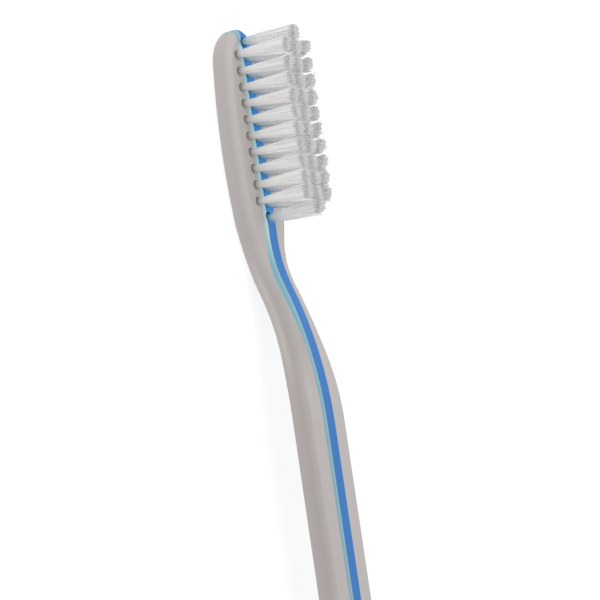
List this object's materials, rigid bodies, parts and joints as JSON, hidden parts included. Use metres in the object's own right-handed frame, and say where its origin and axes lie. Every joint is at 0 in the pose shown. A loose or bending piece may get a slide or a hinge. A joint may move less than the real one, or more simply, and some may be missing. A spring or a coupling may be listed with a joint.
{
  "type": "manual toothbrush",
  "caption": "Slim manual toothbrush with a flat laminated handle, bent neck, blue stripe and a brush head of upright nylon bristle tufts in straight rows.",
  "frame": {"origin": "below the middle of the length, in the plane of the head's back", "axes": "+X to the tip of the head, +Y to the side of the light-blue layer, +Z where the bristles point"},
  "size_m": [0.188, 0.0118, 0.0145],
  "materials": {
    "pearl_plastic": "satin pearl grey with faint lengthwise streaks",
    "light_blue_plastic": "satin light blue",
    "blue_plastic": "satin blue",
    "nylon_bristle": "translucent white nylon filaments",
    "anchor_brass": "bare brass strip"
  },
  "bodies": {
    "root": {"left_handle_layer": "pearl_plastic", "accent_layer": "light_blue_plastic", "core_layer": "blue_plastic", "right_handle_layer": "pearl_plastic", "tuft_left_01": "nylon_bristle", "tuft_left_02": "nylon_bristle", "tuft_left_03": "nylon_bristle", "tuft_left_04": "nylon_bristle", "tuft_left_05": "nylon_bristle", "tuft_left_06": "nylon_bristle", "tuft_left_07": "nylon_bristle", "tuft_left_08": "nylon_bristle", "tuft_left_09": "nylon_bristle", "tuft_left_10": "nylon_bristle", "tuft_center_01": "nylon_bristle", "tuft_center_02": "nylon_bristle", "tuft_center_03": "nylon_bristle", "tuft_center_04": "nylon_bristle", "tuft_center_05": "nylon_bristle", "tuft_center_06": "nylon_bristle", "tuft_center_07": "nylon_bristle", "tuft_center_08": "nylon_bristle", "tuft_center_09": "nylon_bristle", "tuft_center_10": "nylon_bristle", "tuft_center_11": "nylon_bristle", "tuft_center_12": "nylon_bristle", "tuft_right_01": "nylon_bristle", "tuft_right_02": "nylon_bristle", "tuft_right_03": "nylon_bristle", "tuft_right_04": "nylon_bristle", "tuft_right_05": "nylon_bristle", "tuft_right_06": "nylon_bristle", "tuft_right_07": "nylon_bristle", "tuft_right_08": "nylon_bristle", "tuft_right_09": "nylon_bristle", "tuft_right_10": "nylon_bristle", "anchor_plates": "anchor_brass"}
  },
  "joints": []
}
